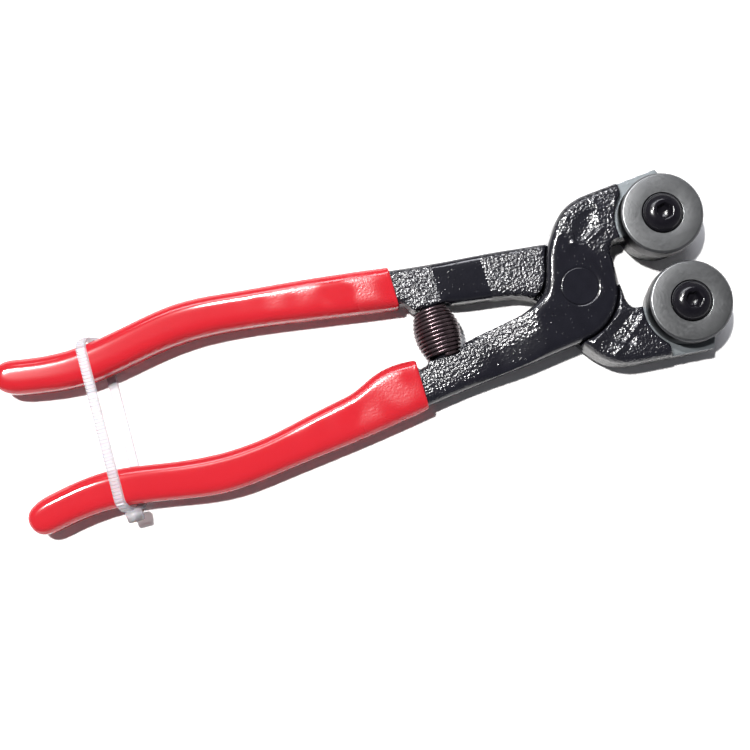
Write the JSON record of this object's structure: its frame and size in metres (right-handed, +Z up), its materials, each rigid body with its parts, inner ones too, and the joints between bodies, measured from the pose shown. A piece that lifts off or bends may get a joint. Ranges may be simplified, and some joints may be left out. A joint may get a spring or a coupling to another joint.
{
  "type": "wheeled glass nippers",
  "caption": "Spring-opened plier with two opposed round cutting wheels on lap-jointed levers, dipped grips and a strap round the handles.",
  "frame": {"origin": "on the pivot axis at the underside of the joint, which is the face the tool lies on", "axes": "+X along the tool from the pivot towards the cutting wheels, +Y across the handles towards the side of the upper grip, +Z up, out of the face with the wheels and along the pivot axis"},
  "size_m": [0.1967, 0.0543, 0.0175],
  "materials": {
    "enamelled_steel": "gloss black enamel over rough cast steel",
    "enamelled_rivet": "gloss black enamel",
    "red_vinyl": "glossy dipped vinyl",
    "wheel_carbide": "satin ground",
    "black_oxide": "satin black oxide",
    "spring_steel": "dark oiled spring steel",
    "natural_nylon": "natural translucent nylon"
  },
  "bodies": {
    "top_lever_body": {"top_lever": "enamelled_steel", "pivot_rivet": "enamelled_rivet", "lower_grip": "red_vinyl", "upper_wheel_screw": "black_oxide", "return_spring": "spring_steel", "cable_tie": "natural_nylon"},
    "bottom_lever_body": {"bottom_lever": "enamelled_steel", "upper_grip": "red_vinyl", "lower_wheel_screw": "black_oxide"},
    "upper_wheel_body": {"upper_wheel": "wheel_carbide"},
    "lower_wheel_body": {"lower_wheel": "wheel_carbide"}
  },
  "joints": [
    {"name": "pivot", "type": "hinge", "parent": "top_lever_body", "child": "bottom_lever_body", "pos_m": [0, 0, 0], "axis": [0, 0, 1], "range_deg": [0, 5.8], "stiffness_Nm_per_rad": 1.5, "springref_deg": -5.73, "deforming": ["return_spring"]},
    {"name": "upper_wheel_turn", "type": "hinge", "parent": "top_lever_body", "child": "upper_wheel_body", "pos_m": [0.0266, 0.0125, 0], "axis": [0, 0, 1], "continuous": true},
    {"name": "lower_wheel_turn", "type": "hinge", "parent": "bottom_lever_body", "child": "lower_wheel_body", "pos_m": [0.0266, -0.0125, 0], "axis": [0, 0, 1], "continuous": true}
  ]
}
